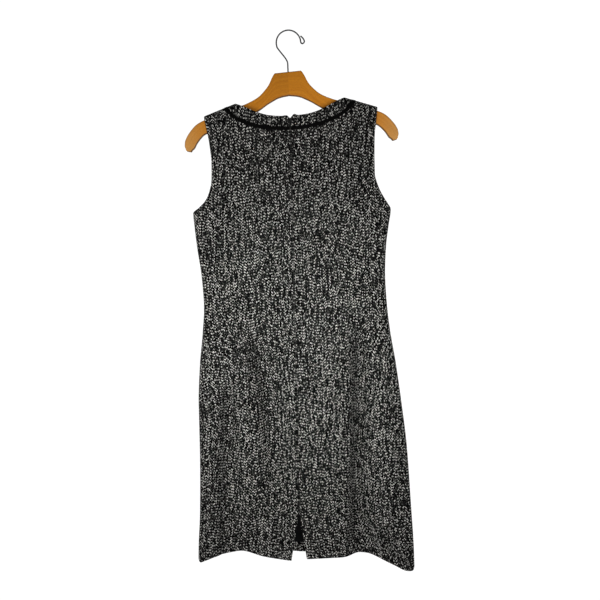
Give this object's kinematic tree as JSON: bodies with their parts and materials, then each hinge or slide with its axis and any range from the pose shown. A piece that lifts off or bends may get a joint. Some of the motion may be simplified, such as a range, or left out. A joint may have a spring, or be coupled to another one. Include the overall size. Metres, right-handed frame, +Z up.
{
  "type": "sheath dress on a wooden hanger",
  "caption": "Sleeveless tweed sheath dress with a bound round neck, back zip and kick slit, hanging flat on a wooden hanger with a steel hook.",
  "frame": {"origin": "inside of the top of the hanger's hook, where a rail carries it", "axes": "+Z up, -Y towards the back of the dress, which has the zip and the kick slit, +X towards the wearer's right"},
  "size_m": [0.4636, 0.0859, 1.135],
  "materials": {
    "tweed": "black and white woven tweed, matt",
    "trim": "black bias binding",
    "lining": "black smooth lining",
    "zip_tape": "black woven tape",
    "zip_metal": "black enamel",
    "wood": "clear satin varnish",
    "hook_steel": "dark bright steel wire"
  },
  "bodies": {
    "dress_and_hanger": {"back_left": "tweed", "back_right": "tweed", "front": "tweed", "neck_band_back_left": "tweed", "neck_band_back_right": "tweed", "neck_band_front": "tweed", "neck_trim_back_left": "trim", "neck_trim_back_right": "trim", "neck_trim_front": "trim", "front_lining": "lining", "zip_tape": "zip_tape", "zip_slider": "zip_metal", "hanger_left": "wood", "hanger_right": "wood", "hanger_hook": "hook_steel"},
    "zip_pull": {"zip_pull": "zip_metal"}
  },
  "joints": [
    {"name": "zip_pull_hinge", "type": "hinge", "parent": "dress_and_hanger", "child": "zip_pull", "pos_m": [0, -0.02273, -0.1815], "axis": [-1, 0, 0], "range_deg": [0, 170]}
  ]
}
